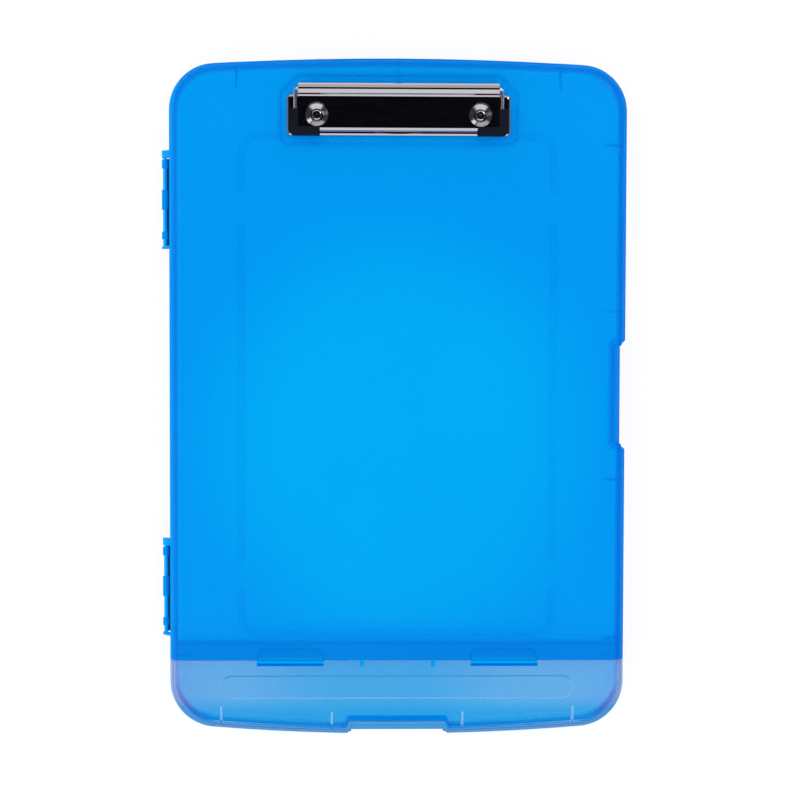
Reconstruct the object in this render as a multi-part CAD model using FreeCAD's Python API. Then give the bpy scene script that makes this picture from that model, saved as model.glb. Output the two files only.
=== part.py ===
import FreeCAD, Part
import math
import os

# A storage clipboard box in injection-moulded polypropylene with a low sheet-metal clip.
# +X points to the opening side, +Y to the clip end and +Z out of the writing face.
# The origin is the centre of the flat underside. All sizes are in millimetres.
# The main lid swings on two rod hinges along the left side, the pen lid on two short
# rods along its upper edge, and the clip jaw on its own rolled barrel.

os.makedirs("parts", exist_ok=True)
Vec = FreeCAD.Vector

# Body outline
body_width = 240.0
body_length = 356.0
top_bow_radius = 1600.0
bottom_bow_radius = 1200.0
top_corner_radius = 24.5
bottom_corner_radius = 25.0
base_height = 13.0
lid_height = 11.0
shell_wall = 1.8
base_edge_radius = 5.0
lid_edge_radius = 6.5
wall_draft_angle = 1.5

# Rim where lids and base meet
lip_height = 1.5
lip_inset = 1.0
lip_clearance = 0.3
parting_gap = 0.2

# Divider between the paper and the pen compartments
pen_compartment_length = 40.55
split_gap = 0.3
bridge_depth = 8.0
bridge_headroom = 4.2
bridge_wall = 1.6
bridge_side_clearance = 0.5

# Stiffening bead in the floor, broken at four places
bead_side_inset = 36.4
bead_top_inset = 38.6
bead_to_bridge = 3.1
bead_corner_radius = 10.0
bead_width = 4.4
bead_height = 1.0
bead_edge_radius = 0.8
bead_break_length = 16.0
bead_break_from_top = 38.4
bead_break_from_bottom = 32.5

# Finger notches
side_notch_y = 2.3
side_notch_half_length = 28.9
side_notch_depth = 2.8
side_scoop_radius = 7.0
front_notch_half_length = 27.3
front_notch_depth = 2.4
front_scoop_radius = 7.0
notch_slope_run = 2.1
notch_corner_radius = 2.0
notch_undercut = 2.0

# Ribs under the lids
rib_thickness = 1.0
rib_foot_height = 2.6
main_top_rib_inset = 35.5
main_top_rib_reach = 15.0
main_centre_rib_reach = 13.8
main_side_rib_reach = 12.3
main_right_rib_shares = (0.7465, 0.2587, -0.2377, -0.7101)
bridge_right_rib_inset = 2.5
bridge_left_rib_inset = 2.3
pen_rib_shares = (-0.775, -0.288, 0.288, 0.775)
pen_rib_reach = 12.0

# Main lid hinges on the left side
hinge_axis_offset = 2.6
hinge_rod_radius = 1.0
hinge_running_clearance = 0.05
hinge_hook_wall = 0.6
hinge_hook_start_angle = 120.0
hinge_hook_end_angle = 340.0
hinge_hook_root_height = 4.2
hinge_ear_radius = 1.6
hinge_length = 51.4
hinge_centre_shares = (0.5847, -0.5619)
hinge_upper_ear_thickness = 3.7
hinge_lower_ear_thickness = 1.3
hinge_shelf_thickness = 1.0
hinge_shelf_clearance = 0.4
hinge_hook_start_shares = (0.0944, 0.3969, 0.8249)
hinge_hook_length_shares = (0.0837, 0.2023, 0.0759)

# Pen lid hinges at its upper edge
pen_rod_radius = 0.9
pen_hinge_x = 56.3
pen_hinge_width = 35.6
pen_hook_wall = 1.0
pen_hook_side_clearance = 0.3
pen_hook_front_clearance = 0.25
pen_hook_top_drop = 0.25
pen_hook_front_angle = 120.0
pen_hook_rear_angle = 348.0
pen_post_inset = 2.6
pen_post_corner_radius = 2.6
pen_post_ledge_thickness = 1.0
pen_post_rib_x = 8.7
pen_post_rib_thickness = 1.2
pocket_rib_thickness = 1.2
pocket_depth = 5.7
pocket_corner_radius = 4.3
lid_over_bridge_gap = 0.3

# Locating nubs on the lower edge of the main lid
nub_x = 18.7
nub_width = 1.6
nub_length = 3.1
nub_height = 1.6
nub_clearance = 0.4

# Long shallow panel pressed into the pen lid
panel_end_inset = 27.0
panel_to_split = 8.3
panel_width = 12.3
panel_depth = 0.6

# Seat of the clip in the main lid
seat_end_inset = 10.1
seat_side_margin = 3.0
seat_front_margin = 3.7
seat_chamfer = 9.1
seat_corner_radius = 4.0
seat_depth = 0.8

# Clip jaw, one bent sheet with a rolled barrel
sheet_thickness = 0.8
jaw_width = 104.0
jaw_depth = 21.9
jaw_axis_from_seat_end = 7.2
jaw_barrel_over_seat = 1.2
jaw_gap = 0.2
jaw_bend_radius = 2.1
jaw_tail_angle = 18.0
jaw_flank_angle = 50.0
jaw_flank_length = 1.2
jaw_flank_radius = 1.6
jaw_hole_margin = 0.2
jaw_lip_half_length = 16.5
jaw_lip_reach = 1.1
jaw_tail_notch_half_width = 7.3
jaw_tail_notch_height = 3.0

# Clip base plate, a shallow pan with a curl that the jaw turns on
plate_side_margin = 6.4
plate_front_lead = 2.1
plate_rear_from_axis = 2.3
plate_height = 1.7
plate_corner_radius = 2.6
plate_rim_radius = 1.5
curl_end_inset = 1.5
curl_gap = 0.3
curl_turn_angle = 290.0
joggle_angle = 30.0
joggle_radius = 1.4
joggle_root = 1.5

# Spring wire and rubber corners
wire_radius = 0.9
wire_in_curl_clearance = 0.4
wire_side_clearance = 0.8
wire_bend_radius = 1.8
wire_foot_inset = 2.6
wire_foot_length = 10.7
wire_foot_clearance = 0.1
boot_side_margin = 4.5
boot_front_margin = 2.2
boot_front_leg_length = 15.6
boot_side_leg_length = 13.8
boot_leg_depth = 4.4
boot_stand_proud = 0.8
boot_corner_radius = 2.6
boot_edge_radius = 0.5

# Rivets and backing washers
rivet_side_inset = 9.5
rivet_front_inset = 8.7
rivet_shank_radius = 1.6
rivet_head_radius = 2.85
rivet_head_height = 1.6
rivet_head_round = 0.9
rivet_bore_radius = 0.8
rivet_bore_depth = 3.0
rivet_tail_radius = 2.7
rivet_tail_height = 1.0
rivet_hole_clearance = 0.05
dish_flat_margin = 0.45
dish_slope_run = 2.6
washer_radius = 5.0
washer_thickness = 0.8

# One overrun serves every cut
overrun = 2.0

# An edge is upright when its width is under this share of its height
upright_share = 0.05

# Values worked out from the sizes above
flat_tolerance = shell_wall / 1000
half_width = body_width / 2
half_length = body_length / 2
top_z = base_height + lid_height
plate_under_z = top_z - shell_wall
draft = math.tan(math.radians(wall_draft_angle))
hinge_x = -half_width - hinge_axis_offset
hinge_z = base_height
split_y = pen_compartment_length - half_length
pen_axis_y = split_y - split_gap - pen_rod_radius
pen_axis_z = top_z - pen_rod_radius
pen_hook_inner = pen_rod_radius + hinge_running_clearance
pen_hook_outer = pen_hook_inner + pen_hook_wall
bridge_front_y = pen_axis_y
bridge_rear_y = bridge_front_y + bridge_depth
bridge_height = plate_under_z - bridge_headroom
bead_half_width = half_width - bead_side_inset
bead_top_y = half_length - bead_top_inset
bead_bottom_y = bridge_rear_y + bead_to_bridge
panel_half_length = half_width - panel_end_inset
panel_top_y = split_y - panel_to_split
panel_bottom_y = panel_top_y - panel_width
seat_top_y = half_length - seat_end_inset
seat_z = top_z - seat_depth
seat_under_z = seat_z - shell_wall
curl_radius = wire_radius + wire_in_curl_clearance + sheet_thickness / 2
jaw_centre_radius = curl_radius + curl_gap + sheet_thickness
jaw_barrel_radius = jaw_centre_radius + sheet_thickness / 2
jaw_half_width = jaw_width / 2
jaw_axis_y = seat_top_y - jaw_axis_from_seat_end
jaw_axis_z = seat_z + jaw_barrel_over_seat + jaw_barrel_radius
jaw_front_y = jaw_axis_y - jaw_depth
plate_half_width = jaw_half_width + plate_side_margin
plate_front_y = jaw_front_y - plate_front_lead
plate_rear_y = jaw_axis_y - plate_rear_from_axis
plate_top_z = seat_z + plate_height
jaw_bottom_z = plate_top_z + jaw_gap
seat_half_width = plate_half_width + seat_side_margin
seat_bottom_y = plate_front_y - seat_front_margin
rivet_x = jaw_half_width - rivet_side_inset
rivet_y = jaw_front_y + rivet_front_inset
rivet_hole_radius = rivet_shank_radius + rivet_hole_clearance
dish_flat_radius = rivet_head_radius + dish_flat_margin
dish_radius = dish_flat_radius + dish_slope_run
jaw_hole_radius = dish_radius + jaw_hole_margin
wire_arm_x = jaw_half_width + wire_side_clearance + wire_radius
wire_foot_y = jaw_front_y + wire_foot_inset
wire_foot_z = jaw_bottom_z + wire_foot_clearance + wire_radius


# Helpers for flat faces and prisms

def polygon_face(corners):
    return Part.Face(Part.makePolygon(corners + [corners[0]]))


def prism_z(corners, z_low, z_high):
    face = polygon_face([Vec(x, y, z_low) for x, y in corners])
    return face.extrude(Vec(0, 0, z_high - z_low))


def prism_y(corners, y_low, y_high):
    face = polygon_face([Vec(x, y_low, z) for x, z in corners])
    return face.extrude(Vec(0, y_high - y_low, 0))


def block(x_low, x_high, y_low, y_high, z_low, z_high):
    size = (x_high - x_low, y_high - y_low, z_high - z_low)
    return Part.makeBox(size[0], size[1], size[2], Vec(x_low, y_low, z_low))


def rod_x(radius, y, z, x_low, x_high):
    return Part.makeCylinder(radius, x_high - x_low, Vec(x_low, y, z), Vec(1, 0, 0))


def rod_y(radius, x, z, y_low, y_high):
    return Part.makeCylinder(radius, y_high - y_low, Vec(x, y_low, z), Vec(0, 1, 0))


def rod_z(radius, x, y, z_low, z_high):
    return Part.makeCylinder(radius, z_high - z_low, Vec(x, y, z_low), Vec(0, 0, 1))


def round_edges(shape, radius, chosen):
    edges = [edge for edge in shape.Edges if chosen(edge)]
    return shape.makeFillet(radius, edges)


def slope_edges(shape, run, chosen):
    edges = [edge for edge in shape.Edges if chosen(edge)]
    return shape.makeChamfer(run, edges)


def is_upright(edge):
    box = edge.BoundBox
    return box.XLength + box.YLength < box.ZLength * upright_share


def lies_at_z(z):
    def test(edge):
        box = edge.BoundBox
        return abs(box.ZMin - z) < flat_tolerance and abs(box.ZMax - z) < flat_tolerance
    return test


def turned(shape, angle):
    """The shape turned about the vertical through the origin."""
    result = shape.copy()
    result.rotate(Vec(0, 0, 0), Vec(0, 0, 1), angle)
    return result


def fused(pieces):
    return pieces[0].multiFuse(pieces[1:]).removeSplitter()


# Body outline with bowed ends and tangent corner arcs

def corner(side, apex, bow, radius):
    """Points of the arc that joins the side to the bowed end, for the quarter with x, y > 0."""
    bow_y = apex - bow
    centre_x = side - radius
    centre_y = bow_y + math.sqrt((bow - radius) ** 2 - centre_x ** 2)
    angle = math.atan2(centre_y - bow_y, centre_x)
    start = (side, centre_y)
    middle = (centre_x + radius * math.cos(angle / 2), centre_y + radius * math.sin(angle / 2))
    end = (centre_x + radius * math.cos(angle), centre_y + radius * math.sin(angle))
    return start, middle, end


def outline(inset, z):
    """Closed outline of the body, drawn in by an inset, at one height."""
    side = half_width - inset
    apex = half_length - inset
    top = corner(side, apex, top_bow_radius - inset, top_corner_radius - inset)
    low = corner(side, apex, bottom_bow_radius - inset, bottom_corner_radius - inset)

    def at(point, x_sign, y_sign):
        return Vec(x_sign * point[0], y_sign * point[1], z)

    def arc(a, b, c):
        return Part.Arc(a, b, c).toShape()

    edges = [
        Part.makeLine(at(low[0], 1, -1), at(top[0], 1, 1)),
        arc(at(top[0], 1, 1), at(top[1], 1, 1), at(top[2], 1, 1)),
        arc(at(top[2], 1, 1), Vec(0, apex, z), at(top[2], -1, 1)),
        arc(at(top[2], -1, 1), at(top[1], -1, 1), at(top[0], -1, 1)),
        Part.makeLine(at(top[0], -1, 1), at(low[0], -1, -1)),
        arc(at(low[0], -1, -1), at(low[1], -1, -1), at(low[2], -1, -1)),
        arc(at(low[2], -1, -1), Vec(0, -apex, z), at(low[2], 1, -1)),
        arc(at(low[2], 1, -1), at(low[1], 1, -1), at(low[0], 1, -1)),
    ]
    return Part.Wire(edges)


def outline_block(inset_low, z_low, inset_high, z_high):
    wires = [outline(inset_low, z_low), outline(inset_high, z_high)]
    return Part.makeLoft(wires, True, True)


def base_inset(z):
    """Draft of the base wall: the body is widest at the parting line."""
    return (base_height - z) * draft


def lid_inset(z):
    return (z - base_height) * draft


# Finger notches, drawn for an edge that faces +X and turned to their side

def notch_plan(edge, half, depth, grow, z_low, z_high):
    inner_x = edge - depth - grow
    inner_half = half - notch_slope_run + grow
    outer_half = half + grow
    splay = notch_slope_run * overrun / depth
    corners = [
        (edge + overrun, -outer_half - splay),
        (edge + overrun, outer_half + splay),
        (inner_x, inner_half),
        (inner_x, -inner_half),
    ]
    plan = prism_z(corners, z_low, z_high)
    inner = [e for e in plan.Edges if is_upright(e) and e.BoundBox.XMax < edge]
    return plan.makeFillet(notch_corner_radius, inner)


def scoop_plan(edge, half, depth, radius, grow, z_low, z_high):
    wall_x = edge - depth
    near_half = half - notch_slope_run + grow
    corners = [
        (wall_x + grow, -near_half),
        (wall_x + grow, near_half),
        (wall_x - radius, near_half - radius / 2),
        (wall_x - radius, -near_half + radius / 2),
    ]
    return prism_z(corners, z_low, z_high)


def scoop_cut(edge, half, depth, radius):
    """What a quarter-round finger scoop takes off the top edge of the notch."""
    plan = scoop_plan(edge, half, depth, radius, 0, top_z - radius, top_z + overrun)
    drum = rod_y(radius, edge - depth - radius, top_z - radius, -half, half)
    return plan.cut(drum)


def scoop_lining(edge, half, depth, radius):
    """Material that keeps the wall thickness behind the scoop."""
    plan = scoop_plan(edge, half, depth, radius, shell_wall, top_z - radius, top_z)
    drum = rod_y(radius - shell_wall, edge - depth - radius, top_z - radius, -half, half)
    return plan.cut(drum)


def shift_y(shape, y):
    result = shape.copy()
    result.translate(Vec(0, y, 0))
    return result


def side_turn(shape):
    return shift_y(shape, side_notch_y)


def front_turn(shape):
    return turned(shape, -90)


notches = (
    (half_width, side_notch_half_length, side_notch_depth, side_scoop_radius, side_turn),
    (half_length, front_notch_half_length, front_notch_depth, front_scoop_radius, front_turn),
)


def notch_shell(shell, skin, z_low, z_high, undercut):
    """Steps a shell inwards round each finger notch."""
    for edge, half, depth, radius, turn in notches:
        deep = depth + undercut
        lining = turn(notch_plan(edge, half, deep, shell_wall, z_low, z_high))
        shell = shell.fuse(lining.common(skin))
    for edge, half, depth, radius, turn in notches:
        deep = depth + undercut
        shell = shell.cut(turn(notch_plan(edge, half, deep, 0, z_low - overrun, z_high + overrun)))
    return shell


# Base shell

def base_skin():
    skin = outline_block(base_inset(0), 0, 0, base_height)
    return round_edges(skin, base_edge_radius, lies_at_z(0))


def base_cavity():
    low = outline_block(shell_wall + base_inset(shell_wall), shell_wall, shell_wall, base_height)
    low = round_edges(low, base_edge_radius - shell_wall, lies_at_z(shell_wall))
    rim_top = base_height + lip_height + overrun
    high = outline_block(shell_wall, base_height, shell_wall, rim_top)
    return low.fuse(high)


def base_tray():
    """Floor, walls and rim; the lip stops short of the finger notches."""
    skin = base_skin()
    lip = outline_block(lip_inset, base_height - lip_height, lip_inset, base_height + lip_height)
    tray = skin.fuse(lip).cut(base_cavity())
    tray = notch_shell(tray, skin, 0, base_height, notch_undercut)
    for edge, half, depth, radius, turn in notches:
        reach = half + shell_wall + lip_clearance
        inner_x = edge - depth - 2 * shell_wall
        high_z = base_height + lip_height + overrun
        gap = block(inner_x, edge + overrun, -reach, reach, base_height, high_z)
        tray = tray.cut(turn(gap))
    return tray


def bridge():
    """Hollow divider across the body, open underneath, and the hollow that goes through the floor."""
    inner_side = half_width - shell_wall - base_inset(0)
    side = half_width - shell_wall - bridge_side_clearance - lid_inset(bridge_height)
    low = block(-inner_side, inner_side, bridge_front_y, bridge_rear_y, 0, base_height)
    high = block(-side, side, bridge_front_y, bridge_rear_y, base_height - overrun, bridge_height)
    outer = low.fuse(high)
    hollow = block(
        -side + bridge_wall, side - bridge_wall,
        bridge_front_y + bridge_wall, bridge_rear_y - bridge_wall,
        -overrun, bridge_height - bridge_wall,
    )
    return outer.cut(hollow), hollow


def floor_bead():
    def ring(inset, height):
        half = bead_half_width - inset
        low_y = bead_bottom_y + inset
        high_y = bead_top_y - inset
        solid = block(-half, half, low_y, high_y, shell_wall - height, shell_wall + height)
        return round_edges(solid, bead_corner_radius - inset, is_upright)

    reach = bead_width / 2
    bead = ring(-reach, bead_height).cut(ring(reach, bead_height + overrun))
    bead = round_edges(bead, bead_edge_radius, lies_at_z(shell_wall + bead_height))
    break_ys = (bead_top_y - bead_break_from_top, bead_bottom_y + bead_break_from_bottom)
    for y in break_ys:
        half = bead_break_length / 2
        side = bead_half_width + bead_width
        bead = bead.cut(block(-side, side, y - half, y + half, -overrun, shell_wall + overrun))
    return bead.cut(block(-half_width, half_width, -half_length, half_length, -overrun, 0))


def c_profile(inner, outer, start_angle, end_angle):
    """Flat C between two radii about the origin of the YZ plane, angles from +Y towards +Z."""
    def at(radius, angle):
        turn = math.radians(angle)
        return Vec(0, radius * math.cos(turn), radius * math.sin(turn))

    middle = (start_angle + end_angle) / 2
    edges = [
        Part.Arc(at(outer, start_angle), at(outer, middle), at(outer, end_angle)).toShape(),
        Part.makeLine(at(outer, end_angle), at(inner, end_angle)),
        Part.Arc(at(inner, end_angle), at(inner, middle), at(inner, start_angle)).toShape(),
        Part.makeLine(at(inner, start_angle), at(outer, start_angle)),
    ]
    return Part.Face(Part.Wire(edges))


def pen_hook():
    """C hook over the pen lid's rod, with its post and two ribs, centred on x = 0."""
    half = pen_hinge_width / 2 - pen_hook_side_clearance
    narrow = pen_hinge_width / 2 - pen_post_inset
    hook_face = c_profile(pen_hook_inner, pen_hook_outer, pen_hook_front_angle, pen_hook_rear_angle)
    hook = hook_face.extrude(Vec(2 * half, 0, 0))
    hook.translate(Vec(-half, pen_axis_y, pen_axis_z))
    front_y = pen_axis_y - pen_hook_outer
    low_z = top_z - pen_hook_top_drop
    hook = hook.cut(block(-half, half, front_y, pen_axis_y, low_z, top_z + overrun))
    for side in (-1, 1):
        near = min(side * narrow, side * (half + overrun))
        far = max(side * narrow, side * (half + overrun))
        rear = block(near, far, pen_axis_y, pen_axis_y + overrun, bridge_height, top_z)
        hook = hook.cut(rear)
    ledge_top = pen_axis_z - pen_hook_inner
    ledge_low = ledge_top - pen_post_ledge_thickness
    ledge_rear = split_y + pocket_depth - pocket_rib_thickness - pen_post_inset / 2
    ledge_top = min(ledge_top, plate_under_z - lid_over_bridge_gap)
    ledge = block(-narrow, narrow, pen_axis_y, ledge_rear, ledge_low, ledge_top)
    rear_edges = [e for e in ledge.Edges if is_upright(e) and e.BoundBox.YMin > split_y]
    ledge = ledge.makeFillet(pen_post_corner_radius, rear_edges)
    wall = block(
        -narrow, narrow, pen_axis_y, pen_axis_y + pen_post_rib_thickness,
        bridge_height - bridge_wall, ledge_low + pen_post_ledge_thickness / 2,
    )
    foot_z = bridge_height - bridge_wall
    ribs = []
    for x in (-pen_post_rib_x, pen_post_rib_x):
        low_x = x - pen_post_rib_thickness / 2
        high_x = x + pen_post_rib_thickness / 2
        ribs.append(block(low_x, high_x, pen_axis_y, ledge_rear, foot_z, ledge_top))
    return fused([hook, ledge, wall] + ribs)


def hinge_top_ys():
    return [share * half_length + hinge_length / 2 for share in hinge_centre_shares]


def main_hook(y_high, length):
    """C hook under and outside the main lid's rod, rooted in the base wall."""
    inner = hinge_rod_radius + hinge_running_clearance
    outer = inner + hinge_hook_wall
    face = c_profile(inner, outer, hinge_hook_start_angle, hinge_hook_end_angle)
    face.rotate(Vec(0, 0, 0), Vec(0, 0, 1), -90)
    hook = face.extrude(Vec(0, length, 0))
    hook.translate(Vec(hinge_x, y_high - length, hinge_z))
    wall_x = -half_width + shell_wall / 2
    root = [
        (hinge_x, hinge_z - inner),
        (wall_x, hinge_z - inner),
        (wall_x, hinge_z - inner - hinge_hook_root_height),
        (-half_width, hinge_z - inner - hinge_hook_root_height),
        (hinge_x, hinge_z - outer),
    ]
    return fused([hook, prism_y(root, y_high - length, y_high)])


def hinge_shelf(top_y):
    """Ledge of the base wall under one hinge rod, between the rod's two ears."""
    high_z = hinge_z - hinge_rod_radius - hinge_shelf_clearance
    low_y = top_y - hinge_length + hinge_lower_ear_thickness + hinge_shelf_clearance
    high_y = top_y - hinge_upper_ear_thickness - hinge_shelf_clearance
    wall_x = -half_width + shell_wall / 2
    return block(hinge_x, wall_x, low_y, high_y, high_z - hinge_shelf_thickness, high_z)


def base_shell():
    tray = base_tray()
    divider, hollow = bridge()
    hooks = []
    for top_y in hinge_top_ys():
        hooks.append(hinge_shelf(top_y))
        for start_share, length_share in zip(hinge_hook_start_shares, hinge_hook_length_shares):
            start = start_share * hinge_length
            hooks.append(main_hook(top_y - start, length_share * hinge_length))
    shell = fused([tray, divider, floor_bead()] + hooks)
    shell = shell.cut(hollow)
    posts = []
    for x in (-pen_hinge_x, pen_hinge_x):
        post = pen_hook()
        post.translate(Vec(x, 0, 0))
        posts.append(post)
    return fused([shell] + posts)


# Lids

def lid_skin():
    skin = outline_block(lid_inset(base_height), base_height + parting_gap, lid_inset(top_z), top_z)
    return round_edges(skin, lid_edge_radius, lies_at_z(top_z))


def lid_cavity():
    low_z = base_height + parting_gap - overrun
    low_inset = shell_wall + lid_inset(low_z)
    high_inset = shell_wall + lid_inset(plate_under_z)
    cavity = outline_block(low_inset, low_z, high_inset, plate_under_z)
    cavity = round_edges(cavity, lid_edge_radius - shell_wall, lies_at_z(plate_under_z))
    step = lip_inset - lip_clearance
    rebate_top = base_height + lip_height + lip_clearance
    rebate = outline_block(step, low_z, step, rebate_top)
    return cavity.fuse(rebate)


def rib(edge, reach, along, angle, foot_z=base_height + rib_foot_height):
    """Triangular stiffener under the lid plate, for an edge that faces +X, then turned."""
    corners = [
        (edge, plate_under_z + shell_wall / 2),
        (edge - reach, plate_under_z + shell_wall / 2),
        (edge - reach, plate_under_z - rib_thickness),
        (edge - shell_wall - rib_thickness, foot_z),
        (edge, foot_z),
    ]
    solid = prism_y(corners, along - rib_thickness / 2, along + rib_thickness / 2)
    return turned(solid, angle)


def end_y(x, bow):
    """How far the bowed end stands out at one x."""
    return half_length - bow + math.sqrt(bow ** 2 - x ** 2)


def main_ribs():
    ribs = [rib(half_length, main_centre_rib_reach, 0, 90)]
    top_rib_x = half_width - main_top_rib_inset
    for x in (-top_rib_x, top_rib_x):
        ribs.append(rib(end_y(x, top_bow_radius), main_top_rib_reach, -x, 90))
    for share in main_right_rib_shares:
        ribs.append(rib(half_width, main_side_rib_reach, share * half_length, 0))
    over_bridge_z = bridge_height + lid_over_bridge_gap
    right_y = split_y + bridge_right_rib_inset
    left_y = split_y + bridge_left_rib_inset
    ribs.append(rib(half_width, main_side_rib_reach, right_y, 0, over_bridge_z))
    ribs.append(rib(half_width, main_side_rib_reach, -left_y, 180, over_bridge_z))
    return ribs


def pen_ribs():
    xs = [share * half_width for share in pen_rib_shares]
    return [rib(end_y(x, bottom_bow_radius), pen_rib_reach, x, -90) for x in xs]


def lid_shell(ribs):
    """Both lids as one moulding, with the finger scoops, before the split."""
    skin = lid_skin()
    low_z = base_height + parting_gap
    shell = skin.cut(lid_cavity())
    for edge, half, depth, radius, turn in notches:
        shell = shell.fuse(turn(scoop_lining(edge, half, depth, radius)).common(skin))
    shell = notch_shell(shell, skin, low_z, top_z, 0)
    for edge, half, depth, radius, turn in notches:
        shell = shell.cut(turn(scoop_cut(edge, half, depth, radius)))
    inside = fused(ribs).common(skin)
    return shell.fuse(inside).removeSplitter()


def seat_block(grow, z_low, z_high):
    half = seat_half_width + grow
    low_y = seat_bottom_y - grow
    high_y = seat_top_y + grow
    slope = seat_chamfer + grow / 2
    corners = [
        (-half, low_y),
        (half, low_y),
        (half, high_y - slope),
        (half - slope, high_y),
        (-half + slope, high_y),
        (-half, high_y - slope),
    ]
    solid = prism_z(corners, z_low, z_high)
    low_edges = [e for e in solid.Edges if is_upright(e) and e.BoundBox.YMax < rivet_y]
    return solid.makeFillet(seat_corner_radius + grow, low_edges)


def seat_recess():
    """What the clip's seat takes out of the lid plate; its sides slope at half a right angle."""
    recess = seat_block(seat_depth / 2, seat_z, top_z + overrun)
    return slope_edges(recess, seat_depth, lies_at_z(seat_z))


def hinge_rod(top_y):
    """Rod between two ears, moulded on the main lid."""
    low_y = top_y - hinge_length
    slope = hinge_ear_radius * math.cos(math.radians(45))
    wall_x = -half_width + shell_wall / 2
    ear = [
        (hinge_x, hinge_z),
        (-half_width - hinge_ear_radius, hinge_z + parting_gap),
        (wall_x, hinge_z + parting_gap),
        (wall_x, hinge_z + slope + wall_x - hinge_x + slope),
        (hinge_x - slope, hinge_z + slope),
    ]
    pieces = [rod_y(hinge_rod_radius, hinge_x, hinge_z, low_y, top_y)]
    spans = (
        (top_y - hinge_upper_ear_thickness, top_y),
        (low_y, low_y + hinge_lower_ear_thickness),
    )
    for low, high in spans:
        pieces.append(rod_y(hinge_ear_radius, hinge_x, hinge_z, low, high))
        pieces.append(prism_y(ear, low, high))
    return fused(pieces)


def pocket_rib():
    """Wall under the main lid that goes round one pen hinge post, centred on x = 0."""
    outer_half = pen_hinge_width / 2
    low_z = bridge_height + lid_over_bridge_gap
    high_z = plate_under_z + shell_wall / 2

    def pocket(inset, extra):
        half = outer_half - inset
        rear = split_y + pocket_depth - inset
        solid = block(-half, half, split_y - extra, rear, low_z - extra, high_z + extra)
        rear_edges = [e for e in solid.Edges if is_upright(e) and e.BoundBox.YMin > split_y]
        return solid.makeFillet(pocket_corner_radius - inset, rear_edges)

    return pocket(0, 0).cut(pocket(pocket_rib_thickness, overrun))


def nub(x):
    """Small tongue on the main lid's lower edge that keeps the two lids in line."""
    half = nub_width / 2
    root_y = split_y + shell_wall
    return block(x - half, x + half, split_y - nub_length, root_y, top_z - nub_height, top_z)


def main_lid():
    upper = block(-body_width, body_width, split_y, body_length, 0, top_z + overrun)
    lid = lid_shell(main_ribs()).common(upper)
    lid = fused([lid, seat_block(shell_wall, seat_under_z, plate_under_z + shell_wall / 2)])
    lid = lid.cut(seat_recess())
    additions = [hinge_rod(y) for y in hinge_top_ys()]
    for x in (-pen_hinge_x, pen_hinge_x):
        wall = pocket_rib()
        wall.translate(Vec(x, 0, 0))
        additions.append(wall)
    for x in (-nub_x, nub_x):
        additions.append(nub(x))
    lid = fused([lid] + additions)
    half = pen_hinge_width / 2 - pocket_rib_thickness
    high_z = pen_axis_z + lid_over_bridge_gap
    rear_y = pen_axis_y + pen_hook_outer + lid_over_bridge_gap
    low_z = plate_under_z - overrun
    for x in (-pen_hinge_x, pen_hinge_x):
        relief = block(x - half, x + half, split_y - overrun, rear_y, low_z, high_z)
        lid = lid.cut(relief)
    for x in (-rivet_x, rivet_x):
        hole = rod_z(rivet_hole_radius, x, rivet_y, seat_under_z - overrun, seat_z + overrun)
        lid = lid.cut(hole)
    return lid


def pen_lid():
    rear_y = split_y - split_gap
    cut_y = rear_y + overrun
    low_z = plate_under_z - overrun
    high_z = top_z + overrun
    lower = block(-body_width, body_width, -body_length, rear_y, 0, high_z)
    lid = lid_shell(pen_ribs()).common(lower)
    nose = rod_x(pen_rod_radius, pen_axis_y, pen_axis_z, -half_width, half_width)
    above = block(-half_width, half_width, pen_axis_y, cut_y, pen_axis_z, high_z)
    lid = lid.cut(above.cut(nose))
    notch_y = pen_axis_y - pen_hook_outer - pen_hook_front_clearance
    half = pen_hinge_width / 2
    reach = half + shell_wall
    rods = []
    for x in (-pen_hinge_x, pen_hinge_x):
        lid = lid.cut(block(x - half, x + half, notch_y, cut_y, low_z, high_z))
        rods.append(rod_x(pen_rod_radius, pen_axis_y, pen_axis_z, x - reach, x + reach))
    half = nub_width / 2 + nub_clearance
    notch_y = split_y - nub_length - nub_clearance
    for x in (-nub_x, nub_x):
        lid = lid.cut(block(x - half, x + half, notch_y, cut_y, low_z, high_z))
    lid = fused([lid] + rods)
    panel_radius = panel_width / 2
    straight = panel_half_length - panel_radius
    middle_y = (panel_top_y + panel_bottom_y) / 2
    floor_z = top_z - panel_depth
    panel = [block(-straight, straight, panel_bottom_y, panel_top_y, floor_z, high_z)]
    for x in (-straight, straight):
        panel.append(rod_z(panel_radius, x, middle_y, floor_z, high_z))
    return lid.cut(slope_edges(fused(panel), panel_depth, lies_at_z(floor_z)))


# Bent sheet metal

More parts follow.
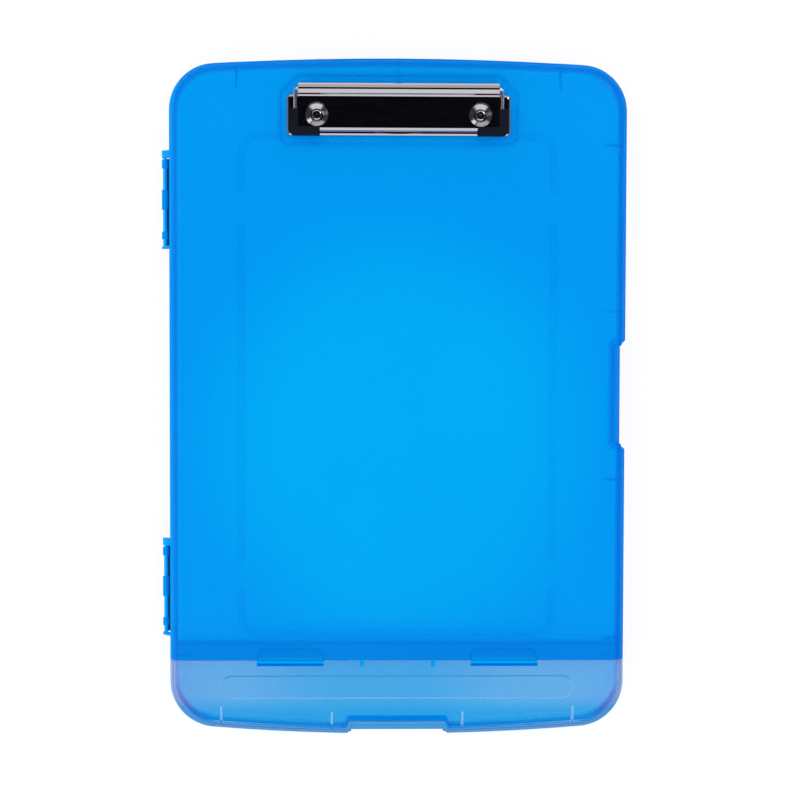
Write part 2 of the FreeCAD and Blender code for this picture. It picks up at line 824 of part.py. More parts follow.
def bent_sheet(start, heading, steps, x_low, x_high):
    """A sheet bent along a path of straights and arcs in the YZ plane.

    Each step is (length, 0, 0) for a straight or (0, turn, radius) for an arc, where the
    radius is that of the middle of the sheet and a positive turn goes from +Y towards +Z.
    """
    half = sheet_thickness / 2
    y, z = start
    angle = math.radians(heading)
    left = []
    right = []

    def side_point(y, z, angle, offset):
        return Vec(x_low, y - offset * math.sin(angle), z + offset * math.cos(angle))

    first_left = side_point(y, z, angle, half)
    first_right = side_point(y, z, angle, -half)
    for length, turn, radius in steps:
        if turn == 0:
            new_y = y + length * math.cos(angle)
            new_z = z + length * math.sin(angle)
            for offset, edges in ((half, left), (-half, right)):
                a = side_point(y, z, angle, offset)
                b = side_point(new_y, new_z, angle, offset)
                edges.append(Part.makeLine(a, b))
            y, z = new_y, new_z
            continue
        sense = 1 if turn > 0 else -1
        centre_y = y - sense * radius * math.sin(angle)
        centre_z = z + sense * radius * math.cos(angle)

        def on_arc(at_angle, offset):
            arm_y = sense * radius * math.sin(at_angle)
            arm_z = -sense * radius * math.cos(at_angle)
            return side_point(centre_y + arm_y, centre_z + arm_z, at_angle, offset)

        end_angle = angle + math.radians(turn)
        middle = (angle + end_angle) / 2
        for offset, edges in ((half, left), (-half, right)):
            points = [on_arc(angle, offset), on_arc(middle, offset), on_arc(end_angle, offset)]
            edges.append(Part.Arc(*points).toShape())
        y = centre_y + sense * radius * math.sin(end_angle)
        z = centre_z - sense * radius * math.cos(end_angle)
        angle = end_angle
    last_left = side_point(y, z, angle, half)
    last_right = side_point(y, z, angle, -half)
    caps = [Part.makeLine(last_left, last_right), Part.makeLine(first_right, first_left)]
    wire = Part.Wire(Part.__sortEdges__(left + right + caps))
    return Part.Face(wire).extrude(Vec(x_high - x_low, 0, 0))


# Clip base plate

def dish(x):
    """Dished seat of one rivet, pressed down to the lid."""
    corners = [
        (rivet_hole_radius, seat_z),
        (dish_flat_radius, seat_z),
        (dish_radius, plate_top_z - sheet_thickness),
        (dish_radius, plate_top_z),
        (dish_flat_radius, seat_z + sheet_thickness),
        (rivet_hole_radius, seat_z + sheet_thickness),
    ]
    face = polygon_face([Vec(r, 0, z) for r, z in corners])
    solid = face.revolve(Vec(0, 0, 0), Vec(0, 0, 1), 360)
    solid.translate(Vec(x, rivet_y, 0))
    return solid


def plate_pan():
    half = plate_half_width
    outer = block(-half, half, plate_front_y, plate_rear_y, seat_z, plate_top_z)
    outer = round_edges(outer, plate_corner_radius, is_upright)
    outer = round_edges(outer, plate_rim_radius, lies_at_z(plate_top_z))
    t = sheet_thickness
    inner = block(
        t - half, half - t, plate_front_y + t, plate_rear_y - t,
        seat_z - overrun, plate_top_z - t,
    )
    inner = round_edges(inner, plate_corner_radius - t, is_upright)
    inner = round_edges(inner, plate_rim_radius - t, lies_at_z(plate_top_z - t))
    return outer.cut(inner)


def plate_curl():
    """Joggle and curl that the spring wire and the jaw's barrel turn on."""
    curl_half_width = jaw_half_width - curl_end_inset
    start_z = plate_top_z - sheet_thickness / 2
    end_z = jaw_axis_z - curl_radius
    tilt = math.radians(joggle_angle)
    rise = end_z - start_z - 2 * joggle_radius * (1 - math.cos(tilt))
    slope_length = rise / math.sin(tilt)
    run = 2 * joggle_radius * math.sin(tilt) + slope_length * math.cos(tilt)
    steps = [
        (joggle_root, 0, 0),
        (0, joggle_angle, joggle_radius),
        (slope_length, 0, 0),
        (0, -joggle_angle, joggle_radius),
        (0, curl_turn_angle / 2, curl_radius),
        (0, curl_turn_angle / 2, curl_radius),
    ]
    start = (jaw_axis_y - run - joggle_root, start_z)
    return bent_sheet(start, 0, steps, -curl_half_width, curl_half_width)


def clip_base_plate():
    plate = plate_pan()
    for x in (-rivet_x, rivet_x):
        plate = plate.cut(rod_z(dish_radius, x, rivet_y, seat_z - overrun, plate_top_z + overrun))
    return fused([plate, plate_curl(), dish(-rivet_x), dish(rivet_x)])


# Clip jaw

def clip_jaw():
    """Front lip, flat, flank and rolled barrel bent from one sheet."""
    flank = math.radians(jaw_flank_angle)
    centre = jaw_centre_radius
    flat_y = jaw_axis_y - centre * math.sin(flank) - jaw_flank_length * math.cos(flank)
    flat_y = flat_y - jaw_flank_radius * math.sin(flank)
    flat_z = jaw_axis_z + centre * math.cos(flank) - jaw_flank_length * math.sin(flank)
    flat_z = flat_z - jaw_flank_radius * (1 - math.cos(flank))
    front_radius = jaw_bend_radius - sheet_thickness / 2
    tail = math.radians(jaw_tail_angle)
    start = (jaw_axis_y + centre * math.cos(tail), jaw_axis_z - centre * math.sin(tail))
    steps = [
        (0, jaw_tail_angle + 90 + jaw_flank_angle, centre),
        (jaw_flank_length, 0, 0),
        (0, -jaw_flank_angle, jaw_flank_radius),
        (flat_y - jaw_front_y - jaw_bend_radius, 0, 0),
        (0, 90, front_radius),
        (flat_z - front_radius - jaw_bottom_z, 0, 0),
    ]
    jaw = bent_sheet(start, 90 - jaw_tail_angle, steps, -jaw_half_width, jaw_half_width)
    high_z = jaw_axis_z + jaw_barrel_radius
    for x in (-rivet_x, rivet_x):
        jaw = jaw.cut(rod_z(jaw_hole_radius, x, rivet_y, plate_top_z, high_z))
    notch_radius = arc_radius(jaw_tail_notch_half_width, jaw_tail_notch_height)
    notch_z = start[1] + jaw_tail_notch_height - notch_radius
    notch = rod_y(notch_radius, 0, notch_z, jaw_axis_y, jaw_axis_y + jaw_barrel_radius + overrun)
    jaw = jaw.cut(notch)
    return fused([jaw, jaw_lip()])


def arc_radius(half_chord, height):
    return (half_chord ** 2 + height ** 2) / (2 * height)


def jaw_lip():
    """Finger lip: a shallow lens standing out from the middle of the front edge."""
    radius = arc_radius(jaw_lip_half_length, jaw_lip_reach)
    front_y = jaw_front_y - jaw_lip_reach
    high_z = jaw_bottom_z + sheet_thickness
    lens = rod_z(radius, 0, front_y + radius, jaw_bottom_z, high_z)
    half = jaw_lip_half_length + overrun
    rear_y = jaw_front_y + sheet_thickness / 2
    keep = block(-half, half, front_y - overrun, rear_y, jaw_bottom_z, high_z)
    return lens.common(keep)


# Spring wire and rubber corners

def wire_path():
    """Half of the wire's centre line, level, with the middle of the hinge axis at the origin."""
    bend = wire_bend_radius
    short = bend * (1 - math.cos(math.radians(45)))
    foot = -math.hypot(jaw_axis_y - wire_foot_y, jaw_axis_z - wire_foot_z)
    x = wire_arm_x
    root = Vec(x - bend, 0, 0)
    shoulder = Vec(x, -bend, 0)
    ankle = Vec(x, foot + bend, 0)
    heel = Vec(x - bend, foot, 0)
    edges = [
        Part.makeLine(Vec(0, 0, 0), root),
        Part.Arc(root, Vec(x - short, -short, 0), shoulder).toShape(),
        Part.makeLine(shoulder, ankle),
        Part.Arc(ankle, Vec(x - short, foot + short, 0), heel).toShape(),
        Part.makeLine(heel, Vec(x - wire_foot_length, foot, 0)),
    ]
    return Part.Wire(edges)


def clip_spring_wire():
    section = Part.Wire(Part.makeCircle(wire_radius, Vec(0, 0, 0), Vec(1, 0, 0)))
    half = wire_path().makePipeShell([section], True, False)
    tilt = math.atan2(jaw_axis_z - wire_foot_z, jaw_axis_y - wire_foot_y)
    half.rotate(Vec(0, 0, 0), Vec(1, 0, 0), math.degrees(tilt))
    wire = half.fuse(half.mirror(Vec(0, 0, 0), Vec(1, 0, 0))).removeSplitter()
    wire.translate(Vec(0, jaw_axis_y, jaw_axis_z))
    return wire


def rubber_corner(side, jaw, wire):
    """Rubber boot on one front corner of the jaw, moulded round the jaw and the wire."""
    high_z = jaw_flat_top() + boot_stand_proud
    outer_x = jaw_half_width + boot_side_margin
    inner_x = outer_x - boot_front_leg_length
    front_y = jaw_front_y - boot_front_margin
    leg_rear_y = front_y + boot_leg_depth
    rear_y = front_y + boot_side_leg_length
    corners = [
        (inner_x, front_y),
        (outer_x, front_y),
        (outer_x, rear_y),
        (jaw_half_width, rear_y),
        (jaw_half_width, leg_rear_y),
        (inner_x, leg_rear_y),
    ]
    boot = prism_z(corners, jaw_bottom_z, high_z)
    outer_edge = [
        e for e in boot.Edges
        if is_upright(e) and e.BoundBox.XMin > jaw_half_width and e.BoundBox.YMax < leg_rear_y
    ]
    boot = boot.makeFillet(boot_corner_radius, outer_edge)
    boot = round_edges(boot, boot_edge_radius, lies_at_z(high_z))
    if side < 0:
        boot = boot.mirror(Vec(0, 0, 0), Vec(1, 0, 0))
    return boot.cut(jaw).cut(wire)


def jaw_flat_top():
    flank = math.radians(jaw_flank_angle)
    rise = jaw_centre_radius * math.cos(flank) - jaw_flank_length * math.sin(flank)
    return jaw_axis_z + rise - jaw_flank_radius * (1 - math.cos(flank)) + sheet_thickness / 2


# Rivets and washers

def rivet(x):
    """Tubular rivet with a rolled upper head and a flat tail head."""
    tail_top = seat_under_z - washer_thickness
    tail_low = tail_top - rivet_tail_height
    head_low = seat_z + sheet_thickness
    head_top = head_low + rivet_head_height
    tail = rod_z(rivet_tail_radius, x, rivet_y, tail_low, tail_top)
    shank = rod_z(rivet_shank_radius, x, rivet_y, tail_low, head_top)
    head = rod_z(rivet_head_radius, x, rivet_y, head_low, head_top)
    head = round_edges(head, rivet_head_round, lies_at_z(head_top))
    bore = rod_z(rivet_bore_radius, x, rivet_y, head_top - rivet_bore_depth, head_top + overrun)
    return fused([tail, shank, head]).cut(bore)


def washer(x):
    low_z = seat_under_z - washer_thickness
    disc = rod_z(washer_radius, x, rivet_y, low_z, seat_under_z)
    hole = rod_z(rivet_hole_radius, x, rivet_y, low_z - overrun, seat_under_z + overrun)
    return disc.cut(hole)


def save(name, shape):
    shape.exportStep("parts/" + name + ".step")
    print(name, len(shape.Solids), round(shape.Volume), shape.isValid())


jaw_shape = clip_jaw()
wire_shape = clip_spring_wire()
save("base_shell", base_shell())
save("main_lid", main_lid())
save("pen_lid", pen_lid())
save("clip_base_plate", clip_base_plate())
save("clip_jaw", jaw_shape)
save("clip_spring_wire", wire_shape)
save("rubber_corner_left", rubber_corner(-1, jaw_shape, wire_shape))
save("rubber_corner_right", rubber_corner(1, jaw_shape, wire_shape))
save("rivet_left", rivet(-rivet_x))
save("rivet_right", rivet(rivet_x))
save("washer_left", washer(-rivet_x))
save("washer_right", washer(rivet_x))
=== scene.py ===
import math

import bpy
import numpy as np
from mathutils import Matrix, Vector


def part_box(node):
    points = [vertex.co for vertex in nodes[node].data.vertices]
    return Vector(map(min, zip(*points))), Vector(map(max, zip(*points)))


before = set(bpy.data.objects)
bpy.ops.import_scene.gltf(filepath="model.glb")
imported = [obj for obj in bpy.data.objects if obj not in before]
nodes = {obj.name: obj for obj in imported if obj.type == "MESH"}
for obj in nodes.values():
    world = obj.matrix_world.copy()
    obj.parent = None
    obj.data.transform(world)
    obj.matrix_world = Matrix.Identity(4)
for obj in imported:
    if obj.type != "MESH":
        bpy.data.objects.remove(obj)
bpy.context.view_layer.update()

scene = bpy.context.scene


# The box as far as the finish follows it, in metres with every joint at rest

corner_radius = 0.027
end_sag = 0.0050
notch_half = 0.027
notch_inward = 0.0046
divider_front = -0.1406
divider_rear = -0.1290
wall_top = 0.0105
parting_line = 0.0130
pen_hinge_x = 0.0563


# Where the tones of the mouldings change. A pair is a fade: the change begins at the first
# value and is complete at the second. In a name, x, y and z mean a place in metres, depth
# means metres inside the outline, and facing the part of a normal along one axis.

flat_facing = (0.93, 0.999)
upright_facing = (0.90, 0.45)
forward_facing = (-0.3, -0.6)
rearward_facing = (0.3, 0.6)
notch_end_x = (notch_half + 0.001, notch_half - 0.002)

lid_centre_y = -0.02
lid_reach_x = 0.12
lid_reach_y = 0.13
lid_outward = (0.15, 1.0)      # the square of the way out, where the reach counts as 1
# Painted shade on the main lid's face towards its near end, and painted light on its walls
# towards the hinge side
lid_painted_shade_near_y = (-0.112, -0.130)
lid_painted_light_x = (-0.112, -0.118)

clear_centre_x = -0.012
clear_outward = (0.02, 0.08)   # metres to either side of the centre
# Painted shade along the clear lid's front, for the tray seen through it
clear_painted_shade_y = (-0.156, -0.167)
clear_front_y = (-0.148, -0.165)
clear_end_x = (0.112, 0.097)
polished_depth = (0.0085, 0.0050)
edge_depth = (0.0034, 0.0016)
panel_depth = (0.010, 0.012)
panel_front_y = (-0.150, -0.152)
rod_end = (0.0180, 0.0176)     # metres to either side of a pen hinge's middle
rod_y = (-0.1414, -0.1408)
rib_z = (0.0218, 0.0212)
rib_depth = (0.0038, 0.0046)

divider_z = (wall_top - 0.001, wall_top)
divider_rear_y = (divider_rear + 0.002, divider_rear - 0.002)
divider_front_y = (divider_front - 0.0004, divider_front)
# Painted shade in the gap behind the hinge rods
gap_begin = (0.0001, 0.0006)   # metres past the left side, as is the end of the gap
gap_end = (0.0022, 0.0016)
gap_z = (parting_line, parting_line - 0.001)
inner_depth = (0.0006, 0.0014)
lit_y = (divider_front, divider_front - 0.002)


# Colours of the mouldings

black = (0, 0, 0, 1)
white = (1, 1, 1, 1)

lid_face = (0.0, 1.0, 1.0, 1)
# Painted shade on the main lid's face, outward and towards the near end
lid_face_painted_shade = (0.0, 0.74, 0.97, 1)
lid_face_near_painted_shade = (0.0, 0.66, 0.95, 1)
lid_side = (0.0, 0.24, 0.86, 1)
# Painted light on the main lid's walls towards the hinge side
lid_side_painted_light = (0.0, 0.36, 0.90, 1)

clear_face_middle = (0.26, 0.31, 0.54, 1)
clear_face_outward = (0.52, 0.43, 0.60, 1)
# Painted shade along the clear lid's front, the tray's blue seen through it
clear_face_painted_shade = (0.10, 0.29, 0.56, 1)
clear_side = (0.31, 0.48, 0.78, 1)
# Painted shade on the clear lid's front edge, the tray's blue seen through it
clear_edge_painted_shade = (0.04, 0.31, 0.66, 1)
# Painted shade on the sunk panel's rear edge and a painted highlight on its front edge
clear_shaded = (0.04, 0.22, 0.52, 1)
clear_caught = (0.22, 0.52, 0.86, 1)
# Painted shade on the clear lid's hinge rods, the tray's deeper blue seen through them
clear_rod_painted_shade = (0.0, 0.42, 0.86, 1)
# Painted light on the clear lid's ribs, for the light their frosted edges scatter
clear_rib_painted_light = (0.55, 0.80, 1.0, 1)

tray_face = (0.0, 0.92, 1.0, 1)
tray_side = (0.0, 0.42, 0.88, 1)
tray_divider = (0.0, 0.17, 0.80, 1)
# Painted light on the tray where the clear lid lets the light in
tray_lit = (0.0, 0.90, 1.0, 1)
# Painted shade in the gap behind the hinge rods
tray_gap_painted_shade = (0.0, 0.025, 0.11, 1)


# Node helpers

def new_material(name):
    """An empty node material with its output, and the tree to fill."""
    material = bpy.data.materials.new(name)
    material.use_nodes = True
    tree = material.node_tree
    tree.nodes.clear()
    output = tree.nodes.new("ShaderNodeOutputMaterial")
    return material, tree, output


def add(tree, kind, inputs=None, **settings):
    """A node with its settings and plain input values, and links where a value is a socket."""
    node = tree.nodes.new("ShaderNode" + kind)
    for key, value in settings.items():
        setattr(node, key, value)
    for key, value in (inputs or {}).items():
        socket = node.inputs[key]
        if isinstance(value, bpy.types.NodeSocket):
            tree.links.new(value, socket)
        else:
            socket.default_value = value
    return node


def own_place(tree, stretch=(1, 1, 1)):
    """Object coordinates, stretched for patterns that run along one side."""
    place = add(tree, "TexCoord").outputs["Object"]
    return add(tree, "Mapping", {"Vector": place, "Scale": stretch}).outputs["Vector"]


def own_axes(tree):
    """The x, y and z of a point, in metres with every joint at rest."""
    return add(tree, "SeparateXYZ", {"Vector": own_place(tree)}).outputs


def facing(tree, axis):
    """How far a surface's normal points along an axis."""
    normal = add(tree, "TexCoord").outputs["Normal"]
    return add(tree, "SeparateXYZ", {"Vector": normal}).outputs[axis]


def noise(tree, place, scale, detail):
    values = {"Vector": place, "Scale": scale, "Detail": detail}
    return add(tree, "TexNoise", values).outputs["Fac"]


def bump(tree, height, distance, strength):
    values = {"Height": height, "Distance": distance, "Strength": strength}
    return add(tree, "Bump", values).outputs["Normal"]


def figure(tree, operation, *values):
    """A change of one value, or a sum, product or maximum of two or more in their order."""
    result = values[0]
    for value in values[1:] or (0.0,):
        result = add(tree, "Math", {0: result, 1: value}, operation=operation).outputs[0]
    return result


def product(tree, *values):
    return figure(tree, "MULTIPLY", *values)


def greatest(tree, *values):
    return figure(tree, "MAXIMUM", *values)


def apart(tree, value, centre):
    """How far a value lies from a centre."""
    return figure(tree, "ABSOLUTE", figure(tree, "SUBTRACT", value, centre))


def spread(tree, value, low, high):
    """Maps 0 to 1 onto low to high."""
    values = {"Value": value, "To Min": low, "To Max": high}
    return add(tree, "MapRange", values).outputs["Result"]


def ease(tree, value, fade):
    """Rises softly from 0 to 1 as the value goes through the fade."""
    start, end = fade
    values = {"Value": value, "From Min": start, "From Max": end}
    return add(tree, "MapRange", values, interpolation_type="SMOOTHSTEP").outputs["Result"]


def blend_colours(tree, share, first, second):
    node = add(tree, "Mix", data_type="RGBA")
    for value, key in ((share, "Factor"), (first, "A"), (second, "B")):
        if isinstance(value, bpy.types.NodeSocket):
            tree.links.new(value, node.inputs[key])
        else:
            node.inputs[key].default_value = value
    return node.outputs["Result"]


def paint(tree, tone, *layers):
    """Lays colours over a tone in their order, each over its own share of the surface."""
    for share, colour in layers:
        tone = blend_colours(tree, share, tone, colour)
    return tone


# Tones of the mouldings

def depth_inside(tree):
    """How far a point lies inside the body's outline, up to the corner radius r.

    The depth is r - sqrt(a^2 + b^2), where a and b say how far |x| and |y| + s (x / w)^2 go
    past the centre of the nearest corner, w is half the width and s the sag of the bowed end.
    The finger notch takes its own depth off in the middle of both ends. It is only at the
    front, and so are the tones that ask for the depth.
    """
    half_width, half_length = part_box("main_lid")[1][:2]
    x, y = (figure(tree, "ABSOLUTE", value) for value in own_axes(tree)[:2])
    x_share = figure(tree, "DIVIDE", x, half_width)
    sag = product(tree, x_share, x_share, end_sag)
    beside = figure(tree, "SUBTRACT", x, half_width - corner_radius)
    ahead = figure(tree, "SUBTRACT", figure(tree, "ADD", y, sag), half_length - corner_radius)
    squares = []
    for past in (beside, ahead):
        part = greatest(tree, past, 0.0)
        squares.append(product(tree, part, part))
    reach = figure(tree, "SQRT", figure(tree, "ADD", *squares))
    inward = product(tree, ease(tree, x, notch_end_x), notch_inward)
    return figure(tree, "SUBTRACT", corner_radius, reach, inward)


def flat_and_side(tree):
    """Two shares from the way a surface faces: lying flat, and standing upright."""
    level = figure(tree, "ABSOLUTE", facing(tree, "Z"))
    return ease(tree, level, flat_facing), ease(tree, level, upright_facing)


def lid_tones(tree):
    """The face is lightest a little below its middle, with painted shade that deepens it outward
    from there and towards the near end, where walls stand under it. The walls have painted light
    towards the hinge side.
    """
    flat, side = flat_and_side(tree)
    x, y = own_axes(tree)[:2]
    across = figure(tree, "DIVIDE", x, lid_reach_x)
    along = figure(tree, "DIVIDE", figure(tree, "SUBTRACT", y, lid_centre_y), lid_reach_y)
    squares = (product(tree, value, value) for value in (across, along))
    outward = ease(tree, figure(tree, "ADD", *squares), lid_outward)
    # Painted shade: the face deepens outward and towards the near end
    face = paint(tree, lid_face, (outward, lid_face_painted_shade),
                 (ease(tree, y, lid_painted_shade_near_y), lid_face_near_painted_shade))
    # Painted light: the walls are lighter towards the hinge side
    side_tone = paint(tree, lid_side, (ease(tree, x, lid_painted_light_x), lid_side_painted_light))
    return flat, side, face, side_tone


def clear_lid_tones(tree):
    """Milkier towards its ends, with a polished band and painted shade along the front, a deeper
    blue for the tray seen through it.

    The sunk panel's rear edge has painted shade and its front edge a painted highlight. The
    lid's front edge and the hinge rods are painted the tray's deeper blue, as painted shade for
    the tray seen through them, and the ribs are painted lighter, as painted light scattered by
    their frosted edges.
    """
    side = flat_and_side(tree)[1]
    depth = depth_inside(tree)
    x, y, z = own_axes(tree)
    off_middle = figure(tree, "ABSOLUTE", x)
    outward = ease(tree, apart(tree, x, clear_centre_x), clear_outward)
    # Painted shade of deeper blue along the front, for the tray seen through it
    low = ease(tree, y, clear_painted_shade_y)
    face = paint(tree, clear_face_middle, (outward, clear_face_outward), (low, clear_face_painted_shade))

    front = ease(tree, y, clear_front_y)
    polished = product(tree, front, ease(tree, depth, polished_depth),
                       ease(tree, off_middle, clear_end_x))
    milky = figure(tree, "SUBTRACT", 1.0, polished)

    toward = facing(tree, "Y")
    panel = ease(tree, depth, panel_depth)
    # Painted shade on the front edge, for the tray seen through it
    edge = product(tree, front, ease(tree, depth, edge_depth))
    # Painted shade on the panel's rear edge, painted highlight on its front edge
    shaded = product(tree, panel, ease(tree, toward, forward_facing))
    caught = product(tree, panel, ease(tree, y, panel_front_y),
                     ease(tree, toward, rearward_facing))
    # Painted shade on the hinge rods, for the tray seen through them
    rod = product(tree, ease(tree, apart(tree, off_middle, pen_hinge_x), rod_end),
                  ease(tree, y, rod_y))
    # Painted light: the ribs are lighter
    ribs = product(tree, front, ease(tree, z, rib_z), ease(tree, depth, rib_depth))
    side_tone = paint(tree, clear_side, (edge, clear_edge_painted_shade), (shaded, clear_shaded),
                      (caught, clear_caught), (rod, clear_rod_painted_shade), (ribs, clear_rib_painted_light))
    side = greatest(tree, side, edge, shaded, caught, rod, ribs)
    return milky, side, face, side_tone


def tray_tones(tree):
    """Walls are deeper in colour than flats, with painted light where the clear lid lets the
    light in.

    The divider's top is as deep as the walls, and the gap behind the hinge rods has painted
    shade, deeper still.
    """
    flat, side = flat_and_side(tree)
    x, y, z = own_axes(tree)
    divider = product(tree, ease(tree, z, divider_z), ease(tree, y, divider_rear_y),
                      ease(tree, y, divider_front_y))
    half_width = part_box("main_lid")[1][0]
    past_left = figure(tree, "SUBTRACT", product(tree, x, -1.0), half_width)
    # Painted shade in the gap behind the hinge rods
    gap = product(tree, ease(tree, past_left, gap_begin), ease(tree, past_left, gap_end),
                  ease(tree, z, gap_z))
    # Painted light under the clear lid
    lit = product(tree, ease(tree, depth_inside(tree), inner_depth), ease(tree, y, lit_y))
    side_tone = paint(tree, tray_side, (divider, tray_divider), (lit, tray_lit), (gap, tray_gap_painted_shade))
    return flat, greatest(tree, side, divider, gap), tray_face, side_tone


# Materials of this box

def frosted_plastic(name, tones, body, frost, roughness):
    """Moulded translucent plastic.

    Each surface is milky for a share of its area and lets the rest of the light straight
    through. The three numbers in frost are those shares on rounds, flats and upright walls,
    and upright walls are milky without gloss. Most light still gets in and out, as it does
    in any frosted sheet. The body takes up light with depth, so that ribs and walls seen
    along their length are deeper in colour.
    """
    cloud_tone = 0.04
    cloud_sight = 0.02
    grain_polish = 0.03
    light_passed = 0.88
    material, tree, output = new_material(name)
    place = own_place(tree)
    clouds = noise(tree, place, scale=9.0, detail=2.0)
    grain = noise(tree, place, scale=900.0, detail=2.0)
    flat, side, face, side_tone = tones(tree)
    round_frost, flat_frost, side_frost = frost

    deeper = blend_colours(tree, cloud_tone, face, black)
    tone = blend_colours(tree, side, blend_colours(tree, clouds, face, deeper), side_tone)
    satin = add(tree, "BsdfPrincipled", {
        "Base Color": tone,
        "Roughness": spread(tree, grain, roughness - grain_polish, roughness + grain_polish),
        "Normal": bump(tree, grain, distance=0.00004, strength=0.5),
        "Specular IOR Level": 0.2,
    })
    matt = add(tree, "BsdfDiffuse", {"Color": tone})
    milk = add(tree, "MixShader", {0: side, 1: satin.outputs[0], 2: matt.outputs[0]})
    window = add(tree, "BsdfTransparent", {"Color": white})

    upper = spread(tree, flat, 1 - round_frost, 1 - flat_frost)
    share = spread(tree, side, upper, 1 - side_frost)
    sight = figure(tree, "ADD", share, spread(tree, clouds, -cloud_sight, cloud_sight))
    path = add(tree, "LightPath").outputs
    lighting = greatest(tree, path["Is Shadow Ray"], path["Is Diffuse Ray"])
    openness = spread(tree, lighting, sight, light_passed)
    surface = add(tree, "MixShader", {0: openness, 1: milk.outputs[0], 2: window.outputs[0]})
    tree.links.new(surface.outputs[0], output.inputs["Surface"])

    tint, density = body
    volume = add(tree, "VolumeAbsorption", {"Color": tint, "Density": density})
    tree.links.new(volume.outputs["Volume"], output.inputs["Volume"])
    return material


def principled(tree, output, inputs):
    """One Principled shader over the whole surface."""
    shader = add(tree, "BsdfPrincipled", inputs)
    tree.links.new(shader.outputs["BSDF"], output.inputs["Surface"])


def polished_chrome(name):
    """Plated sheet steel: bright, with faint wipe marks that only vary its polish."""
    material, tree, output = new_material(name)
    wipes = noise(tree, own_place(tree, (3, 14, 3)), scale=30.0, detail=4.0)
    ripple = noise(tree, own_place(tree, (1, 2, 1)), scale=22.0, detail=1.0)
    principled(tree, output, {
        "Base Color": (0.58, 0.555, 0.575, 1),
        "Metallic": 1.0,
        "Roughness": spread(tree, wipes, 0.03, 0.11),
        "Normal": bump(tree, ripple, distance=0.0002, strength=0.35),
    })
    return material


def drawn_wire(name):
    """Nickelled spring wire with fine drawing lines along it."""
    material, tree, output = new_material(name)
    lines = noise(tree, own_place(tree, (8, 1, 8)), scale=400.0, detail=2.0)
    principled(tree, output, {
        "Base Color": (0.94, 0.92, 0.93, 1),
        "Metallic": 1.0,
        "Roughness": spread(tree, lines, 0.16, 0.30),
        "Normal": bump(tree, lines, distance=0.00003, strength=0.4),
    })
    return material


def turned_metal(name, centres):
    """Plated rivet metal with faint rings of the setting tool round each rivet."""
    material, tree, output = new_material(name)
    place = add(tree, "TexCoord").outputs["Object"]
    rings = []
    for x, y in centres:
        centred = add(tree, "Mapping", {"Vector": place, "Location": (-x, -y, 0)})
        values = {"Vector": centred.outputs["Vector"], "Scale": 650.0, "Distortion": 0.4}
        ring = add(tree, "TexWave", values, wave_type="RINGS", rings_direction="Z")
        rings.append(ring.outputs["Fac"])
    marks = product(tree, *rings)
    principled(tree, output, {
        "Base Color": (0.95, 0.93, 0.94, 1),
        "Metallic": 1.0,
        "Roughness": spread(tree, marks, 0.06, 0.14),
        "Normal": bump(tree, marks, distance=0.00002, strength=0.4),
    })
    return material


def moulded_rubber(name):
    """Dark rubber with a dry skin and fine pores."""
    material, tree, output = new_material(name)
    place = own_place(tree)
    cloud = noise(tree, place, scale=120.0, detail=3.0)
    pores = noise(tree, place, scale=1800.0, detail=2.0)
    darker, lighter = (0.002, 0.004, 0.011, 1), (0.005, 0.008, 0.019, 1)
    principled(tree, output, {
        "Base Color": blend_colours(tree, cloud, darker, lighter),
        "Roughness": spread(tree, pores, 0.42, 0.62),
        "Normal": bump(tree, pores, distance=0.00005, strength=0.6),
        "Specular IOR Level": 0.12,
    })
    return material


def dress(material, *names):
    """Gives CAD nodes their finish."""
    for name in names:
        mesh = nodes[name].data
        mesh.materials.clear()
        mesh.materials.append(material)


def dress_box():
    """One finish for each moulding, each metal of the clip and its rubber."""
    blue_body = ((0.0, 0.86, 0.994, 1), 2500.0)
    clear_body = ((0.80, 0.96, 0.99, 1), 200.0)
    blue_frost = (0.22, 0.28, 0.80)
    clear_frost = (0.0, 0.14, 0.80)
    lid = frosted_plastic("blue frosted lid", lid_tones, blue_body, blue_frost, 0.24)
    tray = frosted_plastic("blue frosted tray", tray_tones, blue_body, blue_frost, 0.24)
    clear = frosted_plastic("clear frosted lid", clear_lid_tones, clear_body, clear_frost, 0.30)
    dress(lid, "main_lid")
    dress(tray, "base_shell")
    dress(clear, "pen_lid")
    dress(polished_chrome("polished chrome sheet"), "clip_base_plate", "clip_jaw")
    dress(drawn_wire("drawn spring wire"), "clip_spring_wire")
    dress(moulded_rubber("dark moulded rubber"), "rubber_corner_left", "rubber_corner_right")
    rivets = [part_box(side) for side in ("rivet_left", "rivet_right")]
    centres = [((low[0] + high[0]) / 2, (low[1] + high[1]) / 2) for low, high in rivets]
    metal = turned_metal("plated rivet metal", centres)
    dress(metal, "rivet_left", "rivet_right", "washer_left", "washer_right")


# Studio

floor_reach = 3.0
floor_points = 13
floor_below = 0.0001
floor_paper = (0.97, 0.97, 0.97, 1)
floor_glow = 1.03
floor_glow_share = 0.86

even_level = 1.08
even_tilt = (-0.35, -0.15)
lamp_direction = (0.32, 0.33, 0.888)
lamp_fade = (0.990, 0.996)
lamp_colour = (6.0, 6.0, 6.0, 1)
overhead_colour = (0.0035, 0.0032, 0.0060, 1)
least_rise = 0.05
horizon_fade = (0.22, 0.10)
screen_tint = np.array((1.0, 0.965, 0.985))

# The screens round the room: how far round, as a part of the whole turn, and the level there
screens = (
    (0.00, 0.70), (0.09, 0.60), (0.13, 0.06), (0.22, 0.06),
    (0.25, 0.30), (0.30, 0.06), (0.36, 0.06), (0.40, 1.00),
    (0.60, 1.00), (0.66, 0.05), (0.84, 0.05), (0.87, 1.30),
    (0.90, 1.30), (0.92, 0.06), (0.94, 0.60), (1.00, 0.70),
)

camera_place = (-0.0169, 0.0348, 0.9161)
camera_turn = (-2.271, -1.146, 0.147)
camera_lens = 76.8
camera_sensor = 36.0


